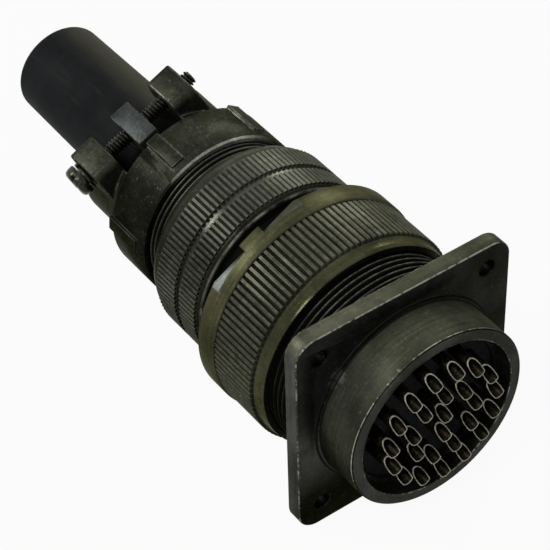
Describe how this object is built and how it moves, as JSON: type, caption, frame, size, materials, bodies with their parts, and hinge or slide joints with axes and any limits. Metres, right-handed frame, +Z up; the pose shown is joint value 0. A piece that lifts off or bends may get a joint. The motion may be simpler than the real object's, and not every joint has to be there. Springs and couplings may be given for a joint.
{
  "type": "circular multi-pin connector",
  "caption": "Olive metal circular multi-pin connector pair: square-flange receptacle with solder cups, mated with a knurled screw-coupled cable plug, back shell, strap clamp and rubber bushing.",
  "frame": {"origin": "centre of the four flange holes, on the flange's solder-side face", "axes": "+X along the connector's axis towards the solder cups, +Z up through the keyway, +Y to complete"},
  "size_m": [0.1375, 0.0508, 0.0508],
  "materials": {
    "olive_shell": "worn olive-drab plating",
    "insert": "matte",
    "ring_steel": "dull",
    "contact": "pale gilt plating",
    "bushing": "matte",
    "screw_steel": "dark plated"
  },
  "bodies": {
    "receptacle": {"receptacle_shell": "olive_shell", "receptacle_front_insert": "insert", "receptacle_rear_insert": "insert", "receptacle_snap_ring": "ring_steel", "pin_contact_01": "contact", "pin_contact_02": "contact", "pin_contact_03": "contact", "pin_contact_04": "contact", "pin_contact_05": "contact", "pin_contact_06": "contact", "pin_contact_07": "contact", "pin_contact_08": "contact", "pin_contact_09": "contact", "pin_contact_10": "contact", "pin_contact_11": "contact", "pin_contact_12": "contact", "pin_contact_13": "contact", "pin_contact_14": "contact", "pin_contact_15": "contact", "pin_contact_16": "contact", "pin_contact_17": "contact", "pin_contact_18": "contact", "pin_contact_19": "contact", "pin_contact_20": "contact", "pin_contact_21": "contact", "pin_contact_22": "contact", "pin_contact_23": "contact", "pin_contact_24": "contact", "pin_contact_25": "contact", "pin_contact_26": "contact"},
    "plug": {"plug_barrel": "olive_shell", "plug_front_insert": "insert", "plug_rear_insert": "insert", "plug_snap_ring": "ring_steel", "socket_contacts_inner": "contact", "socket_contacts_middle": "contact", "socket_contacts_outer": "contact", "nut_snap_ring": "ring_steel", "back_shell": "olive_shell", "clamp_body": "olive_shell", "cable_bushing": "bushing"},
    "nut": {"coupling_nut": "olive_shell"},
    "saddle_left": {"clamp_saddle_left": "olive_shell", "lock_washer_upper": "screw_steel", "lock_washer_lower": "screw_steel"},
    "saddle_right": {"clamp_saddle_right": "olive_shell"},
    "screw_upper": {"clamp_screw_upper": "screw_steel"},
    "screw_lower": {"clamp_screw_lower": "screw_steel"}
  },
  "joints": [
    {"name": "plug_withdraw", "type": "slide", "parent": "receptacle", "child": "plug", "axis": [-1, 0, 0], "range_m": [0, 0.009]},
    {"name": "nut_turn", "type": "hinge", "parent": "plug", "child": "nut", "pos_m": [0, 0, 0], "axis": [-1, 0, 0], "range_deg": [0, 2300]},
    {"name": "saddle_left_slide", "type": "slide", "parent": "plug", "child": "saddle_left", "axis": [0, -0.9063, -0.4226], "range_m": [0, 0.002]},
    {"name": "saddle_right_slide", "type": "slide", "parent": "plug", "child": "saddle_right", "axis": [0, 0.9063, 0.4226], "range_m": [0, 0.002]},
    {"name": "screw_upper_turn", "type": "hinge", "parent": "saddle_left", "child": "screw_upper", "pos_m": [-0.08196, -0.00634, 0.01359], "axis": [0, -0.9063, -0.4226], "range_deg": [0, 1820]},
    {"name": "screw_lower_turn", "type": "hinge", "parent": "saddle_left", "child": "screw_lower", "pos_m": [-0.08196, 0.00634, -0.01359], "axis": [0, -0.9063, -0.4226], "range_deg": [0, 1820]}
  ],
  "couplings": [
    {"joint": "nut_turn", "follows": "plug_withdraw", "rad_per_m": 4453},
    {"joint": "saddle_right_slide", "follows": "saddle_left_slide", "ratio": 1},
    {"joint": "screw_upper_turn", "follows": "saddle_left_slide", "rad_per_m": 15827},
    {"joint": "screw_lower_turn", "follows": "saddle_left_slide", "rad_per_m": 15827}
  ]
}
